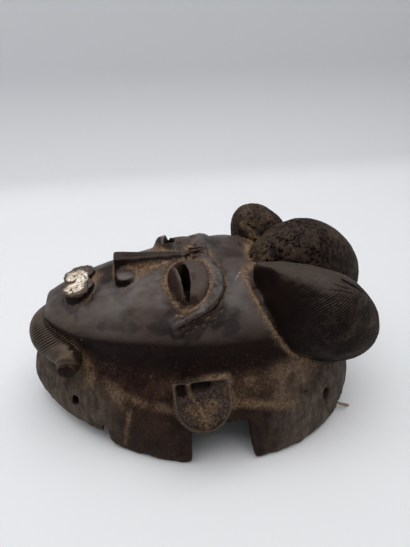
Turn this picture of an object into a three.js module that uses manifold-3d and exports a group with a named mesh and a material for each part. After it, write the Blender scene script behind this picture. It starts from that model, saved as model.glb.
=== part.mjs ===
// Carved wooden face mask with three hair lobes, lying face up on its rim.
// Millimetres. +X runs from the chin to the crown, +Z up, and the two sides mirror across y = 0.
// Stations along X are measured from the chin; the finished group is moved to stand over the origin.
import * as THREE from 'three';
import { mergeVertices } from 'three/addons/utils/BufferGeometryUtils.js';
import Module from 'manifold-3d';

const wasm = await Module();
wasm.setup();

// Driving dimensions of the head: egg outlines in plan at their heights, from the rim up to the jaw edge.
// bend shapes the run from the cheeks to the chin, point how sharp the chin is, flat where its tip is
// cut off, and astray how far the tip strays to the far side
const levels = [
  { z: 0, chin: 8, crown: 254, widest: 158, half: 88, bend: 2.2, point: 1.3 },
  { z: 5, chin: 6, crown: 256, widest: 158, half: 89.5, bend: 2.2, point: 1.32 },
  { z: 26, chin: 4, crown: 254, widest: 160, half: 85.5, bend: 2.2, point: 1.4 },
  { z: 42, chin: 8, crown: 249, widest: 164, half: 81.5, bend: 2.2, point: 1.4 },
  { z: 50, chin: 14, crown: 246.5, widest: 166, half: 77, bend: 2.2, point: 1.4 },
  { z: 64, chin: 25, crown: 238, widest: 168, half: 68, bend: 2.2, point: 1.5 },
  { z: 74, chin: 21, crown: 226, widest: 165, half: 63, bend: 2.2, point: 1.65, flat: 26, astray: 6 },
  { z: 82, chin: 17, crown: 215, widest: 160, half: 60, bend: 2.2, point: 1.7, flat: 22.6, astray: 6 },
];
// The far half of the forehead swells higher than the near half
const face = { top: 115, peakX: 130, fullness: 2.1, edge: 0.9, rings: 8, farRise: 5 };
const bodySides = 60;
const wall = 11;
// The hollow inside: each ring follows a level of the head, the wood left thicker than the wall by so much
const hollow = {
  sides: 36, roof: 19, below: 6,
  shells: [
    { level: 0, thicker: 0 },
    { level: 2, thicker: 0 },
    { level: 4, thicker: 3 },
    { level: 5, thicker: 3 },
    { level: 5, z: 80, thicker: 12 },
    { level: 5, z: 89, thicker: 26 },
  ],
};

// The rim lifts off the table under the chin and under the crown
const rimLift = {
  chinTip: 15, tipX: 4, bendX: 30, chinEnd: 13, stepX: 57, step: 7, roundX: 63, round: 1,
  cheekX: 76, footX: 192, footRise: 1, crownX: 256, crown: 10,
};
const crack = { x: 57, width: 4, top: 28 };
const earNotch = { from: 113.6, to: 159.6, top: 35.5, cornerTop: 29.5, corner: 8, lean: 7 };
// Cutters run past the wood by this much
const past = 20;

// Hair: one lobe over the crown and one at each temple. Each is an ellipsoid leaning back.
// tip is the length of its front end, sharp how pointed that end is, bend how far it turns in to the parting
const middleLobe = {
  at: [203, 0, 87.5], back: 56.5, tip: 38, wide: 31, deep: 47.5, lean: 24, sharp: 0, bend: 0,
};
const sideLobe = {
  at: [206, 47, 87.8], back: 52, tip: 48.5, wide: 26, deep: 32, lean: 36, sharp: 0.7, bend: 24,
};
const farLobe = {
  at: [195, 48, 93.5], back: 38, tip: 34, wide: 26, deep: 22.5, lean: 55, sharp: 0, bend: 0,
};

const lobeGrid = { sides: 20, rings: 16, taper: 1.5, blunt: 0.9, curl: 1.8 };

// Nose: a straight wedge with a flat ridge widening to its blunt tip, and a wing each side.
// A wing is a block, flush with the tip, that narrows to its foot; rings are [share of radius, height]
const nose = {
  tipX: 75, rootX: 127, tipZ: 120.6, rootZ: 117.2, sag: 0.3,
  tipRidge: 11, rootRidge: 5, tipWidth: 22, rootWidth: 10, foot: 98,
};
const wing = {
  at: [81, 9.2], radius: 8.4, sides: 14,
  rings: [[0, 113.2], [0.6, 112.6], [0.9, 111], [1, 109], [0.72, 101], [0.4, 96], [0, 94]],
};

// Mouth: two discs side by side, their front covered by a thin metal sheet, the upper lip bare behind it
const mouth = {
  x: 50.3, shift: -0.4, apart: 7.6, radius: 8.4, reach: 10, top: 103, slope: 0.18, foot: 92, sides: 24,
};
const upperLip = { x: 56.6, rise: 1.5, notch: 3, notchRise: 6, notchSides: 12 };
const lipSheet = { gap: 0.3, thick: 0.8, skirt: 1.2 };

// Eyes: a round mound parted by a blade-shaped slit. The lower lid climbs from its foot to an edge
// that stands up in front of the slit, the upper lid is flatter. Points are [x, distance from the middle].
// The slit goes right through the face as far as through, and beyond it is a blind cut this much deep
const eye = {
  at: [121.8, 24.4], reach: 15.6, across: 18.4, middle: [118, 26.2],
  lowerRise: 8.4, upperRise: 4.6, turnover: 0.55, sunk: 12, sides: 24,
  // Where the lower lid reaches its edge, and how far the far eye sits toward the chin
  edge: { near: 0.32, far: 0.62 }, farShift: -4,
  rings: [0.3, 0.44, 0.58, 0.72, 0.86, 1],
};
const slit = {
  outline: [
    [114, 13], [121, 13.6], [122.7, 21], [122.3, 31],
    [120, 40], [117.8, 35.5], [116.9, 28], [115.4, 20],
  ],
  through: 24, deep: 7, foot: 75, tall: 60,
};
const brow = {
  wide: 10.5, tall: 7.6, inner: 0.7, swell: 3, taper: 1.5, tail: 0.66, steps: 20,
  path: [
    [132, 4, -0.5], [135.6, 9, -0.5], [139, 17, -0.5], [140.3, 26, -0.5], [139, 34, -0.5],
    [134, 39.5, -0.5], [126, 43.5, 0], [117, 46, 0], [110, 47.3, 0], [105.5, 47.8, -0.5],
  ],
};
const browBars = { from: 127, to: 139.5, at: [-4, 0.5, 5], radius: 1.9, lift: 0.6, sides: 10 };

// Ear: a D-shaped plate flush with the wall at its straight top, standing out at its round foot
const ear = {
  x: 122.6, width: 37, straight: 14.3, thick: 9, corner: 5, top: [68.3, 63.5], bottom: [90, 37.8],
  rim: 2, recess: 2,
};

const beard = {
  wide: 21, tall: 26.5, ends: 0.7, steps: 18, sides: 12,
  path: [
    [42.5, -33.5, 61.5], [32.2, -25, 63.5], [23, -13.2, 64.2], [19.3, 0, 64.2],
    [24, 13.2, 63], [33, 25, 62], [43, 33.5, 61],
  ],
};
// Each knob is a short thick rod with a thinner plug standing out of its lower half
const knob = { from: [39.4, 26, 62.4], to: [38, 39, 62], radius: 7.9, sides: 14 };
const plug = { from: [38, 36, 61], to: [37.2, 43.5, 60.6], radius: 6, sides: 12 };

// Bores through the wall: a hanging hole each side at the chin and at the back,
// and two small ones on the near side. worn is how far a cord has dragged a bore down
const holes = {
  chin: { at: [39.6, 39.4, 32.6], aim: [-0.3, 1, 0.35], radius: 2.7, length: 40, sides: 12, worn: 3.4 },
  rear: { at: [212, 68.6, 32], aim: [0.6, 1, 0.1], radius: 3.4, length: 46, sides: 12 },
  small: { at: [192.9, 75, 44.6], aim: [0.4, 1, 0.1], radius: 1.6, length: 40, sides: 8 },
  slot: { at: [229, 58, 5.5], aim: [0.7, 0.7, 0], radius: 2.2, length: 40, sides: 10 },
};

// Frayed end of an old fibre tie, caught in the slot
const tuft = {
  wide: 2.6, tall: 2.6, steps: 8, sides: 8,
  path: [[226, -55, 5.5], [229, -58, 5.5], [231.5, -60.5, 5.3], [234.8, -62, 5], [238, -63.2, 4.6]],
};

const wood = { color: 0x3a2c24, roughness: 0.62, metalness: 0 };
const tin = { color: 0xd8cdbd, roughness: 0.3, metalness: 1 };
const fibre = { color: 0x9a8f7c, roughness: 0.95, metalness: 0 };

// Signed power keeps the quadrant, for superellipse outlines
const signedPower = (value, power) => Math.sign(value) * Math.abs(value) ** power;
const mix = (a, b, share) => a + (b - a) * share;

// A point of an egg outline: a round half toward the crown and a more pointed half toward the chin
function egg(level, turn, inset = 0) {
  const along = Math.cos(turn);
  const across = Math.sin(turn);
  const half = level.half - inset;
  if (along > 0) return [level.widest + (level.crown - level.widest - inset) * along, half * across];
  const reach = level.widest - level.chin - inset;
  return [
    Math.max(level.widest + reach * signedPower(along, 2 / level.bend), (level.flat ?? 0) + inset),
    half * signedPower(across, 2 / mix(2, level.point, Math.min(1, -along * 2)))
      + (level.astray ?? 0) * along ** 6,
  ];
}

// A sphere's grid laid out anew: place(turn, share) gives each point, share running from the top to the bottom
function formed(sides, rings, place) {
  const geometry = new THREE.SphereGeometry(1, sides, rings);
  const { position, uv } = geometry.attributes;
  for (let i = 0; i < position.count; i += 1) {
    const share = Math.round((1 - uv.getY(i)) * rings) / rings;
    const atPole = share === 0 || share === 1;
    const step = atPole ? 0 : Math.round(uv.getX(i) * sides) % sides;
    position.setXYZ(i, ...place(step / sides * 2 * Math.PI + Math.PI, share));
  }
  return geometry;
}

function toSolid(geometry) {
  const bare = geometry.clone();
  bare.deleteAttribute('normal');
  bare.deleteAttribute('uv');
  const merged = mergeVertices(bare, 1e-4);
  const triVerts = Uint32Array.from(merged.index.array);
  const { position } = merged.attributes;
  const corner = (i) => new THREE.Vector3().fromBufferAttribute(position, triVerts[i]);
  let volume = 0;
  for (let i = 0; i < triVerts.length; i += 3) volume += corner(i).cross(corner(i + 1)).dot(corner(i + 2));
  // A mirrored grid comes out inside out and is turned back
  if (volume < 0) triVerts.reverse();
  return new wasm.Manifold(new wasm.Mesh({
    numProp: 3,
    vertProperties: Float32Array.from(position.array),
    triVerts,
  }));
}

function toGeometry(solid) {
  const mesh = solid.getMesh();
  const geometry = new THREE.BufferGeometry();
  geometry.setAttribute('position', new THREE.BufferAttribute(mesh.vertProperties, 3));
  geometry.setIndex(new THREE.BufferAttribute(mesh.triVerts, 1));
  geometry.computeVertexNormals();
  return geometry;
}

// The same solid on the side toward the viewer (y < 0) and on the far side
function bothSides(make) {
  return make(-1).add(make(1));
}

// The face's height where spread is 0 at its peak and 1 at the jaw, and turn is the way round the jaw
function domeHeight(spread, turn) {
  const jawZ = levels[levels.length - 1].z;
  const crownward = Math.min(1, Math.max(0, 0.5 + 1.2 * Math.cos(turn)));
  const swell = face.farRise * crownward * Math.max(0, Math.sin(turn)) * 4 * spread * (1 - spread);
  return jawZ + (face.top - jawZ) * (1 - spread ** face.fullness) ** face.edge + swell;
}

// Head: the wall rises level by level, then the face closes over it as a dome
function headForm() {
  const steps = face.rings + levels.length;
  const jaw = levels[levels.length - 1];
  return toSolid(formed(bodySides, steps, (turn, share) => {
    const step = Math.round(share * steps);
    if (step === steps) return [jaw.widest, 0, 0];
    if (step <= face.rings) {
      const spread = Math.sin(step / face.rings * Math.PI / 2);
      const [x, y] = egg(jaw, turn);
      return [mix(face.peakX, x, spread), y * spread, domeHeight(spread, turn)];
    }
    const level = levels[levels.length - 1 - (step - face.rings)];
    const [x, y] = egg(level, turn);
    return [x, y, level.z];
  }));
}

// Height of the face over a point in plan, for what is laid on it
function faceHeight(x, y) {
  const jaw = levels[levels.length - 1];
  const aim = Math.atan2(y, x - face.peakX);
  let low = 0;
  let high = Math.PI;
  // The outline's direction from the peak grows with its turn, so halving finds the point behind (x, y)
  for (let i = 0; i < 30; i += 1) {
    const middle = (low + high) / 2;
    const [edgeX, edgeY] = egg(jaw, middle);
    if (Math.atan2(edgeY, edgeX - face.peakX) < Math.abs(aim)) low = middle;
    else high = middle;
  }
  const [edgeX, edgeY] = egg(jaw, low);
  const spread = Math.min(1, Math.hypot(x - face.peakX, y) / Math.hypot(edgeX - face.peakX, edgeY));
  return domeHeight(spread, Math.sign(y) * low);
}

// The hollow inside follows the wall at its thickness and narrows all the way up
function hollowForm() {
  const { shells } = hollow;
  const steps = shells.length + 1;
  return toSolid(formed(hollow.sides, steps, (turn, share) => {
    const step = Math.round(share * steps);
    if (step === 0) return [face.peakX, 0, face.top - hollow.roof];
    if (step === steps) return [levels[0].widest, 0, -hollow.below];
    const shell = shells[shells.length - step];
    const level = levels[shell.level];
    const [x, y] = egg(level, turn, wall + shell.thicker);
    return [x, y, level.z === 0 ? -hollow.below : shell.z ?? level.z];
  }));
}

// Everything the rim's underside loses: the lifted ends, the crack and the notches under the ears
function rimCutter() {
  const low = -past;
  const across = levels[0].half + past;
  const lift = new THREE.Shape();
  lift.moveTo(-past, low);
  lift.lineTo(-past, rimLift.chinTip);
  lift.lineTo(rimLift.tipX, rimLift.chinTip);
  lift.quadraticCurveTo(rimLift.bendX, rimLift.chinEnd, rimLift.stepX, rimLift.chinEnd);
  lift.lineTo(rimLift.stepX + crack.width / 2, rimLift.step);
  lift.quadraticCurveTo(rimLift.roundX, rimLift.round, rimLift.cheekX, 0);
  lift.lineTo(rimLift.cheekX, low);
  const crown = new THREE.Shape();
  crown.moveTo(rimLift.footX, low);
  crown.lineTo(rimLift.footX, 0);
  crown.quadraticCurveTo(
    mix(rimLift.footX, rimLift.crownX, 0.5), rimLift.footRise,
    rimLift.crownX, rimLift.crown,
  );
  crown.lineTo(rimLift.crownX + past, rimLift.crown);
  crown.lineTo(rimLift.crownX + past, low);
  const split = new THREE.Shape();
  split.moveTo(crack.x - crack.width / 2, low);
  split.lineTo(crack.x - crack.width / 2, rimLift.chinEnd);
  split.lineTo(crack.x, crack.top);
  split.lineTo(crack.x + crack.width / 2, rimLift.step);
  split.lineTo(crack.x + crack.width / 2, low);
  const notch = new THREE.Shape();
  notch.moveTo(earNotch.from, low);
  notch.lineTo(earNotch.from, earNotch.cornerTop);
  notch.quadraticCurveTo(earNotch.from, earNotch.top, earNotch.from + earNotch.corner, earNotch.top);
  notch.lineTo(earNotch.to - earNotch.lean, earNotch.top);
  notch.lineTo(earNotch.to, low);
  return [lift, crown, split, notch].map((shape) => {
    const settings = { depth: 2 * across, bevelEnabled: false, curveSegments: 6 };
    const geometry = new THREE.ExtrudeGeometry(shape, settings);
    geometry.rotateX(Math.PI / 2);
    geometry.translate(0, across, 0);
    return toSolid(geometry);
  }).reduce((sum, solid) => sum.add(solid));
}

// A hair lobe: its long axis leans down toward the back, its front end narrows to a blunt point
function lobeForm(lobe, side) {
  const geometry = formed(lobeGrid.sides, lobeGrid.rings, (turn, share) => {
    const along = -Math.cos(share * Math.PI);
    const front = Math.max(0, -along);
    const atPole = share === 0 || share === 1;
    const round = Math.sqrt(1 - along * along);
    const pointed = (1 - front ** lobeGrid.taper) ** lobeGrid.blunt;
    const radius = atPole ? 0 : mix(round, pointed, front > 0 ? lobe.sharp : 0);
    return [
      along * (along < 0 ? lobe.tip : lobe.back),
      lobe.wide * radius * Math.sin(turn) - side * lobe.bend * front ** lobeGrid.curl,
      lobe.deep * radius * Math.cos(turn),
    ];
  });
  geometry.rotateY(THREE.MathUtils.degToRad(lobe.lean));
  geometry.translate(lobe.at[0], lobe.at[1] * side, lobe.at[2]);
  return toSolid(geometry);
}

function noseForm() {
  const geometry = new THREE.BoxGeometry(1, 1, 1, 8, 2, 2);
  const { position } = geometry.attributes;
  for (let i = 0; i < position.count; i += 1) {
    const along = position.getX(i) + 0.5;
    const across = position.getY(i) * 2;
    const up = position.getZ(i) + 0.5;
    const ridgeZ = mix(nose.tipZ, nose.rootZ, along) - nose.sag * Math.sin(along * Math.PI);
    const ridge = mix(nose.tipRidge, nose.rootRidge, along);
    const foot = mix(nose.rootWidth, nose.tipWidth, (1 - along) ** 3);
    const half = mix(foot, ridge, up) / 2;
    position.setXYZ(i, mix(nose.tipX, nose.rootX, along), half * across, mix(nose.foot, ridgeZ, up));
  }
  const steps = wing.rings.length - 1;
  const wings = bothSides((side) => toSolid(formed(wing.sides, steps, (turn, share) => {
    const [size, z] = wing.rings[Math.round(share * steps)];
    const x = wing.at[0] + wing.radius * size * Math.cos(turn);
    return [Math.max(x, nose.tipX), side * wing.at[1] + wing.radius * size * Math.sin(turn), z];
  })));
  return toSolid(geometry).add(wings);
}

// One disc of the mouth from foot up to its top, which slopes down to the chin; grow widens it all round
function mouthDisc(side, top, foot, grow = 0) {
  const radius = mouth.radius + grow;
  const geometry = new THREE.CylinderGeometry(radius, radius, 1, mouth.sides);
  geometry.rotateX(Math.PI / 2);
  const { position } = geometry.attributes;
  for (let i = 0; i < position.count; i += 1) {
    const x = position.getX(i) * mouth.reach / mouth.radius;
    const z = (position.getZ(i) > 0 ? top : foot) + x * mouth.slope;
    position.setXYZ(i, mouth.x + x, mouth.shift + side * mouth.apart + position.getY(i), z);
  }
  return toSolid(geometry);
}

// A block from x = from backward (or forward), to part the upper lip from the sheet in front of it
function mouthBlock(from, to) {
  const reach = 2 * (mouth.radius + mouth.apart) + past;
  const geometry = new THREE.BoxGeometry(to - from, reach, reach);
  geometry.translate((from + to) / 2, mouth.shift, mouth.top);
  return toSolid(geometry);
}

function mouthForm() {
  const discs = bothSides((side) => mouthDisc(side, mouth.top, mouth.foot));
  const raised = bothSides((side) => mouthDisc(side, mouth.top + upperLip.rise, mouth.foot));
  const notchZ = mouth.top + upperLip.notchRise;
  const cupid = rod(
    [upperLip.x - past, mouth.shift, notchZ],
    [upperLip.x + past, mouth.shift, notchZ],
    upperLip.notch,
    upperLip.notchSides,
  );
  const lip = raised.intersect(mouthBlock(upperLip.x, upperLip.x + past)).subtract(cupid);
  return discs.add(lip);
}

// The sheet lies over the discs in front of the upper lip and is folded down round their edge
function lipSheetForm() {
  const { gap, thick, skirt } = lipSheet;
  const proud = gap + thick;
  const outside = bothSides((side) => mouthDisc(side, mouth.top + proud, mouth.top - skirt, proud));
  const inside = bothSides((side) => mouthDisc(side, mouth.top + gap, mouth.foot, gap));
  const front = mouth.x - mouth.reach - past;
  return outside.subtract(inside).intersect(mouthBlock(front, upperLip.x - gap));
}

// The mound's plan is an ellipse; rings shrink toward the slit's middle
function eyeForm(side) {
  const steps = eye.rings.length + 1;
  const [middleX, middleY] = eye.middle;
  const edge = side < 0 ? eye.edge.near : eye.edge.far;
  const shift = side < 0 ? 0 : eye.farShift;
  return toSolid(formed(eye.sides, steps, (turn, share) => {
    const step = Math.round(share * steps);
    const ring = step === 0 ? 0 : eye.rings[Math.min(step, eye.rings.length) - 1];
    const x = mix(middleX, eye.at[0] + eye.reach * Math.cos(turn), ring) + shift;
    const y = mix(middleY, eye.at[1] + eye.across * Math.sin(turn), ring);
    if (step === steps) return [middleX + shift, middleY * side, faceHeight(middleX, middleY) - eye.sunk];
    const climb = Math.min(1, (1 - ring) / (1 - edge));
    const lower = eye.lowerRise * mix(climb, climb * climb * (3 - 2 * climb), eye.turnover);
    const upper = eye.upperRise * Math.sqrt(1 - ring ** 3);
    const chinward = Math.min(1, Math.max(0, 0.5 - 2 * Math.cos(turn)));
    return [x, y * side, faceHeight(x, y) + mix(upper, lower, chinward)];
  }));
}

function eyeSlit(side) {
  const outline = new THREE.Shape(slit.outline.map(([x, y]) => new THREE.Vector2(x, y * side)));
  const settings = { depth: slit.tall, bevelEnabled: false };
  const hole = new THREE.ExtrudeGeometry(outline, settings);
  hole.translate(0, 0, slit.foot);
  const cut = hole.clone();
  const { position } = cut.attributes;
  for (let i = 0; i < position.count; i += 1) {
    const floor = faceHeight(position.getX(i), position.getY(i)) - slit.deep;
    position.setZ(i, Math.max(position.getZ(i), floor));
  }
  const inner = new THREE.BoxGeometry(2 * slit.tall, 2 * slit.through, 4 * slit.tall);
  inner.translate(slit.outline[0][0], 0, 0);
  const whole = toSolid(hole).intersect(toSolid(inner)).add(toSolid(cut));
  return side < 0 ? whole : whole.translate([eye.farShift, 0, 0]);
}

// A ridge swept along a path, oval in section; size(share) scales it, so its ends can taper
function swept(points, { wide, tall, steps, sides = 8 }, size) {
  const path = new THREE.CatmullRomCurve3(points.map((point) => new THREE.Vector3(...point)));
  const up = new THREE.Vector3(0, 0, 1);
  return toSolid(formed(sides, steps, (turn, share) => {
    const at = path.getPointAt(share);
    if (share === 0 || share === 1) return at.toArray();
    const tangent = path.getTangentAt(share);
    const across = new THREE.Vector3().crossVectors(tangent, up).normalize();
    const upright = new THREE.Vector3().crossVectors(across, tangent);
    at.addScaledVector(across, wide / 2 * size(share) * Math.cos(turn));
    at.addScaledVector(upright, tall / 2 * size(share) * Math.sin(turn));
    return at.toArray();
  }));
}

// Size along a ridge that is fullest in the middle
function swelling(share, ends) {
  return mix(ends, 1, Math.sin(share * Math.PI));
}

function mirrored(points, side) {
  return points.map(([x, y, z]) => [x, y * side, z]);
}

// Path points laid on the face, on the side asked for
function onFace(points, side) {
  return points.map(([x, y, lift]) => [x, y * side, faceHeight(x, y) + lift]);
}

function browForm(side) {
  return swept(onFace(brow.path, side), brow, (share) => {
    return Math.min(1, brow.inner + share * brow.swell, mix(brow.taper, brow.tail, share));
  });
}

// Short bars side by side where the brows meet
function browBarForms() {
  const { from, to, at, radius, lift, sides } = browBars;
  return at.map((y) => {
    const ends = onFace([[from, y, lift], [to, y, lift]], 1);
    return rod(ends[0], ends[1], radius, sides);
  }).reduce((sum, bar) => sum.add(bar));
}

// Ear: a D-shaped plate leaning outward at its round lower end.
// inset shrinks its outline and lift raises its outer face
function earPlate(side, inset, lift, thick) {
  const [topY, topZ] = ear.top;
  const [bottomY, bottomZ] = ear.bottom;
  const half = ear.width / 2 - inset;
  const d = new THREE.Shape();
  d.moveTo(-half, -inset);
  d.lineTo(-half, -ear.straight);
  d.absarc(0, -ear.straight, half, Math.PI, 2 * Math.PI, false);
  d.lineTo(half, -inset - ear.corner);
  d.quadraticCurveTo(half, -inset, half - ear.corner, -inset);
  d.lineTo(-half, -inset);
  const settings = { depth: thick, bevelEnabled: false, curveSegments: 9 };
  const geometry = new THREE.ExtrudeGeometry(d, settings);
  geometry.translate(0, 0, lift - thick);
  // Stand the plate up facing outward, then tip its foot out
  geometry.rotateX(Math.PI / 2);
  geometry.rotateX(-Math.atan2(bottomY - topY, topZ - bottomZ));
  if (side > 0) geometry.scale(1, -1, 1);
  geometry.translate(ear.x, side * topY, topZ);
  return toSolid(geometry);
}

function earForm(side) {
  const recess = earPlate(side, ear.rim, 1, 1 + ear.recess);
  return earPlate(side, 0, 0, ear.thick).subtract(recess);
}

// The beard band hangs under the chin plate from one knob round to the other
function beardForm() {
  return swept(beard.path, beard, (share) => swelling(share, beard.ends));
}

// A round rod between two points, for the knobs and the bores
function rod(from, to, radius, sides) {
  const start = new THREE.Vector3(...from);
  const axis = new THREE.Vector3(...to).sub(start);
  const geometry = new THREE.CylinderGeometry(radius, radius, axis.length(), sides);
  geometry.applyQuaternion(new THREE.Quaternion().setFromUnitVectors(
    new THREE.Vector3(0, 1, 0),
    axis.clone().normalize(),
  ));
  geometry.translate(...start.addScaledVector(axis, 0.5).toArray());
  return toSolid(geometry);
}

function knobForm(side) {
  return [knob, plug].map(({ from, to, radius, sides }) => {
    return rod(...mirrored([from, to], side), radius, sides);
  }).reduce((sum, solid) => sum.add(solid));
}

function bore(hole, side) {
  const at = new THREE.Vector3(hole.at[0], hole.at[1] * side, hole.at[2]);
  const aim = new THREE.Vector3(hole.aim[0], hole.aim[1] * side, hole.aim[2]).setLength(hole.length / 2);
  const round = rod(at.clone().sub(aim).toArray(), at.clone().add(aim).toArray(), hole.radius, hole.sides);
  return hole.worn ? round.add(round.translate([0, 0, -hole.worn])) : round;
}

let mask = headForm();
mask = mask.add(lobeForm(middleLobe, 1));
mask = mask.add(lobeForm(sideLobe, -1));
mask = mask.add(lobeForm(farLobe, 1));
mask = mask.add(beardForm());
mask = mask.add(bothSides(knobForm));
mask = mask.add(bothSides(earForm));
mask = mask.add(bothSides(eyeForm));
mask = mask.add(bothSides(browForm));
mask = mask.add(browBarForms());
mask = mask.add(noseForm());
mask = mask.add(mouthForm());
mask = mask.subtract(hollowForm());
mask = mask.subtract(bothSides(eyeSlit));
mask = mask.subtract(rimCutter());
mask = mask.subtract(bothSides((side) => bore(holes.chin, side)));
mask = mask.subtract(bothSides((side) => bore(holes.rear, side)));
mask = mask.subtract(bore(holes.small, -1));
mask = mask.subtract(bore(holes.slot, -1));

const tuftForm = swept(tuft.path, tuft, () => 1);

const group = new THREE.Group();
function place(name, solid, look) {
  const mesh = new THREE.Mesh(toGeometry(solid), new THREE.MeshStandardMaterial(look));
  mesh.name = name;
  group.add(mesh);
}
place('mask', mask, wood);
place('lip_sheet', lipSheetForm(), tin);
place('fibre_tuft', tuftForm, fibre);

const bounds = new THREE.Box3().setFromObject(group);
group.position.set(-(bounds.min.x + bounds.max.x) / 2, 0, 0);

export default group;
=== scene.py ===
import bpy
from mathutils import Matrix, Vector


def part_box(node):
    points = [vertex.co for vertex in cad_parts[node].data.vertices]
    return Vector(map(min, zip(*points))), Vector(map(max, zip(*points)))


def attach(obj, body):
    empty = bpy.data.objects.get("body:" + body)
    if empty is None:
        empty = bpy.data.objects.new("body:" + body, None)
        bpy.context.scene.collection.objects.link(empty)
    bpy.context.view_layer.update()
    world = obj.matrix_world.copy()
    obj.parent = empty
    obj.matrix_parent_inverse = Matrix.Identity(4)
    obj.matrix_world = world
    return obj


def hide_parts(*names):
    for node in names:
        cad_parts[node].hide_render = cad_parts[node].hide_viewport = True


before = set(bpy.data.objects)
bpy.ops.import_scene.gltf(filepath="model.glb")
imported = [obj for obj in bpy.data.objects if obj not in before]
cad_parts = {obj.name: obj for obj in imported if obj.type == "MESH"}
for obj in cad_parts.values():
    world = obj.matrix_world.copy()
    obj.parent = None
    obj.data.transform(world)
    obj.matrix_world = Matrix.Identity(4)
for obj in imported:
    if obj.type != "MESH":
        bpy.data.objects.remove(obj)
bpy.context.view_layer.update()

# The head: one block of light wood, hollowed out behind and blackened all over. The face is smoothed and
# polished, the three hair lobes and the beard are scored with fine grooves, and the wall below the jaw and
# the hollow keep the marks of the knife. Brown earth is left in every recess.
import math

import bpy
import numpy as np
from mathutils import Vector

MM = 0.001


def picked(piece):
    """Only this piece is selected and active."""
    if bpy.context.mode != "OBJECT":
        bpy.ops.object.mode_set(mode="OBJECT")
    bpy.ops.object.select_all(action="DESELECT")
    bpy.context.view_layer.objects.active = piece
    piece.select_set(True)


def merged_copy(node, name):
    """A new piece with a CAD node's form, its loose triangles joined."""
    piece = bpy.data.objects.new(name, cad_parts[node].data.copy())
    bpy.context.scene.collection.objects.link(piece)
    piece.data.materials.clear()
    picked(piece)
    bpy.ops.object.mode_set(mode="EDIT")
    bpy.ops.mesh.select_all(action="SELECT")
    bpy.ops.mesh.remove_doubles(threshold=1e-6)
    bpy.ops.object.mode_set(mode="OBJECT")
    return piece


def finished(piece, kind, **settings):
    """Adds a modifier and applies it."""
    picked(piece)
    modifier = piece.modifiers.new(kind, kind)
    for name, value in settings.items():
        setattr(modifier, name, value)
    bpy.ops.object.modifier_apply(modifier=modifier.name)


def points_of(piece):
    """The piece's points in mm."""
    flat = np.empty(len(piece.data.vertices) * 3, np.float32)
    piece.data.vertices.foreach_get("co", flat)
    return flat.reshape(-1, 3).astype(float) / MM


def set_points(piece, points):
    piece.data.vertices.foreach_set("co", (points * MM).astype(np.float32).ravel())
    piece.data.update()


def normals_of(piece):
    flat = np.empty(len(piece.data.vertices) * 3, np.float32)
    piece.data.vertex_normals.foreach_get("vector", flat)
    return flat.reshape(-1, 3).astype(float)


def averaging(piece):
    """A function that moves values on the piece's points toward their neighbours' mean."""
    ends = np.empty(len(piece.data.edges) * 2, np.int32)
    piece.data.edges.foreach_get("vertices", ends)
    a, b = ends.reshape(-1, 2).T
    here, there = np.concatenate((a, b)), np.concatenate((b, a))
    count = np.bincount(here, minlength=len(piece.data.vertices))

    def average(values, rounds=1, share=1.0):
        for _ in range(rounds):
            columns = values.reshape(len(count), -1).T
            mean = [np.bincount(here, column[there], len(count)) / count for column in columns]
            values = values + share * (np.stack(mean, 1).reshape(values.shape) - values)
        return values

    return average


def ramp(low, high, value):
    """0 below low, 1 above high and smooth between; low may be the larger."""
    share = np.clip((value - low) / (high - low), 0, 1)
    return share * share * (3 - 2 * share)


def cloudy(points, size, seed):
    """A smooth random value from -1 to 1 that changes over size mm; size may differ by axis."""
    place = points / np.asarray(size, float)
    cell = np.floor(place).astype(np.int64)
    share = place - cell
    share = share * share * (3 - 2 * share)
    total = np.zeros(len(points))
    for corner in np.ndindex(2, 2, 2):
        x, y, z = (cell + corner).T
        code = (x * 374761393 + y * 668265263 + z * 1440670441 + seed * 1274126177) & 0xFFFFFFFF
        code = ((code ^ (code >> 13)) * 1103515245) & 0xFFFFFFFF
        code = ((code ^ (code >> 15)) * 668265263) & 0xFFFFFFFF
        weight = np.prod(np.where(corner, share, 1 - share), axis=1)
        total += weight * ((code ^ (code >> 16)) / 0x7FFFFFFF - 1)
    return total


def grooves(phase, width):
    """Depth from 0 to 1 of V grooves, one for each whole number of phase and width wide in the same unit."""
    return np.clip(1 - 2 * np.abs(phase - np.round(phase)) / width, 0, 1)


def pit(points, at, radius, stretch=(1, 1, 1)):
    """1 at a point, falling to 0 at its radius."""
    away = np.linalg.norm((points - at) / np.asarray(stretch, float), axis=1)
    return ramp(radius, radius * 0.35, away)


def line(points, path, radius):
    """1 along a path of points, falling to 0 at radius from it."""
    path = np.asarray(path, float)
    nearest = np.full(len(points), 1e9)
    for start, end in zip(path[:-1], path[1:]):
        run = end - start
        share = np.clip((points - start) @ run / (run @ run), 0, 1)
        nearest = np.minimum(nearest, np.linalg.norm(points - start - share[:, None] * run, axis=1))
    return np.clip(1 - nearest / radius, 0, 1)


def near_side(points):
    """The same points with the far half mirrored to the near side, where y is below 0."""
    return points * (1, 0, 1) - np.abs(points) * (0, 1, 0)


def cut(depth, points, marks):
    """Adds lines to a depth, each given as its path, its radius and how deep it is."""
    for path, radius, deep in marks:
        depth += deep * line(points, path, radius)


def stained(value, points, soft, marks):
    """Raises a value along lines, each given as its path, its radius and its share."""
    for path, radius, share in marks:
        value = np.maximum(value, share * ramp(0, soft, line(points, path, radius)))
    return value


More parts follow.
